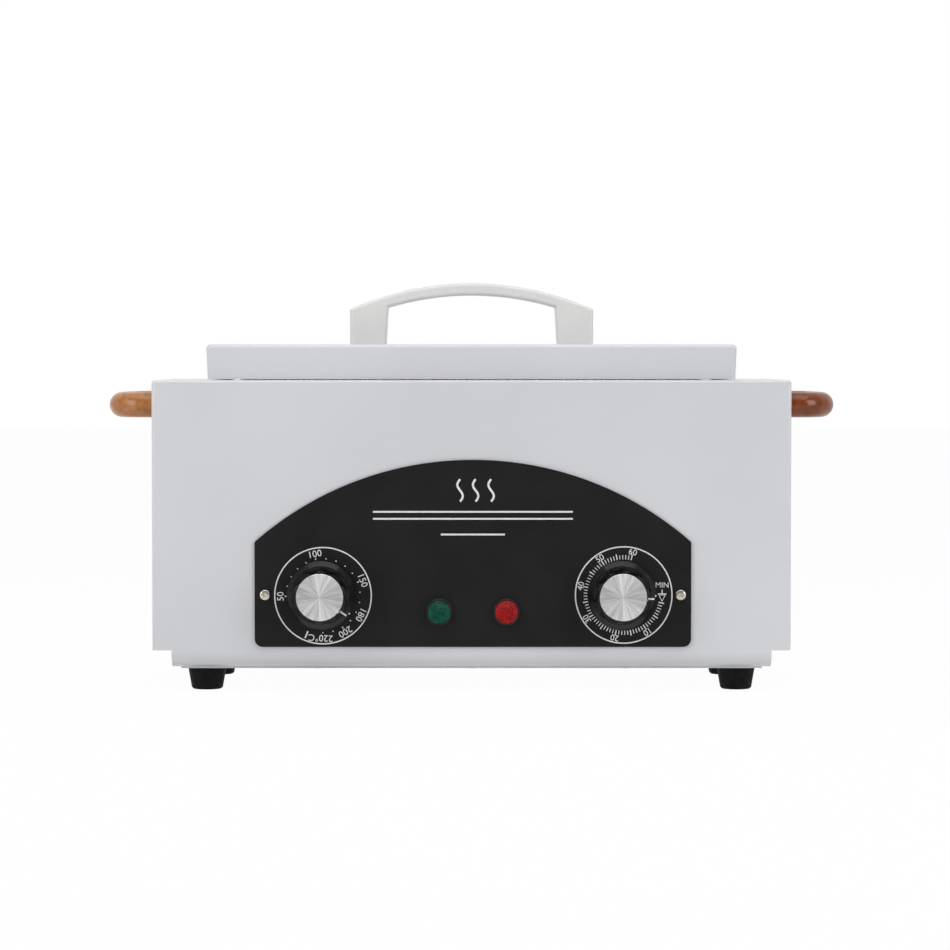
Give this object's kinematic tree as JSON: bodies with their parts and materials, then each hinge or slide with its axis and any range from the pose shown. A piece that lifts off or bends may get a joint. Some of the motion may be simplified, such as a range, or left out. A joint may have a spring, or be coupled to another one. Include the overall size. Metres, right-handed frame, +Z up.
{
  "type": "dry heat sterilizer",
  "caption": "Bench-top dry heat sterilizer: a white sheet-metal box with a lift-off lid, heated tank, tray, thermostat and timer knobs, pilot lamps and wooden side handles.",
  "frame": {"origin": "on the bench under the middle of the whole object's box", "axes": "+X to the object's right as seen from the front, the front faces -Y, +Z up"},
  "size_m": [0.381, 0.1436, 0.212],
  "materials": {
    "white_paint": "smooth gloss white paint",
    "plate_black": "satin black with white print",
    "knob_black": "glossy moulded black",
    "spun_metal": "spun, fine concentric lines",
    "handle_white": "moulded warm white",
    "wood_light": "sanded and lacquered",
    "wood_red": "stained and lacquered",
    "foot_rubber": "matt",
    "stainless": "fine brushed",
    "zinc": "plated",
    "nickel": "nickel plated",
    "lens_green": "moulded prismatic lens",
    "lens_red": "moulded prismatic lens",
    "case_plastic": "moulded",
    "fibre": "needled mineral fibre",
    "ceramic": "unglazed",
    "copper": "drawn copper tube",
    "nylon": "moulded"
  },
  "bodies": {
    "housing": {"body_shell": "white_paint", "base_plate": "white_paint", "feet": "foot_rubber", "foot_screws": "zinc", "foot_nuts": "zinc", "base_screws": "zinc", "front_plate": "plate_black", "plate_screws": "nickel", "thermostat": "zinc", "timer": "zinc", "control_screws": "zinc", "lamp_housings": "knob_black", "lamp_clips": "zinc", "green_lens": "lens_green", "red_lens": "lens_red", "tank": "stainless", "insulation_jacket": "fibre", "heat_shield": "zinc", "heater": "stainless", "heater_straps": "zinc", "strap_nuts": "zinc", "thermal_cutout": "ceramic", "sensing_bulb": "copper", "terminal_block": "ceramic", "cord_gland": "nylon", "gland_nut": "nylon", "left_handle": "wood_light", "right_handle": "wood_red", "side_handle_screws": "zinc", "tray": "stainless", "tray_handles": "stainless"},
    "lid": {"lid_shell": "white_paint", "lid_liner": "stainless", "lid_insulation": "fibre", "lid_handle": "handle_white", "lid_handle_screws": "zinc"},
    "temperature_control": {"temperature_knob": "knob_black", "temperature_knob_cap": "spun_metal", "temperature_shaft": "zinc"},
    "timer_control": {"timer_knob": "knob_black", "timer_knob_cap": "spun_metal", "timer_shaft": "zinc"}
  },
  "joints": [
    {"name": "lid_lift", "type": "slide", "parent": "housing", "child": "lid", "axis": [0, 0, 1], "range_m": [0, 0.15]},
    {"name": "temperature_turn", "type": "hinge", "parent": "housing", "child": "temperature_control", "pos_m": [-0.0775, -0.06, 0.0503], "axis": [0, 1, 0], "range_deg": [-218, 53]},
    {"name": "timer_turn", "type": "hinge", "parent": "housing", "child": "timer_control", "pos_m": [0.0775, -0.06, 0.0503], "axis": [0, 1, 0], "range_deg": [0, 278]}
  ]
}
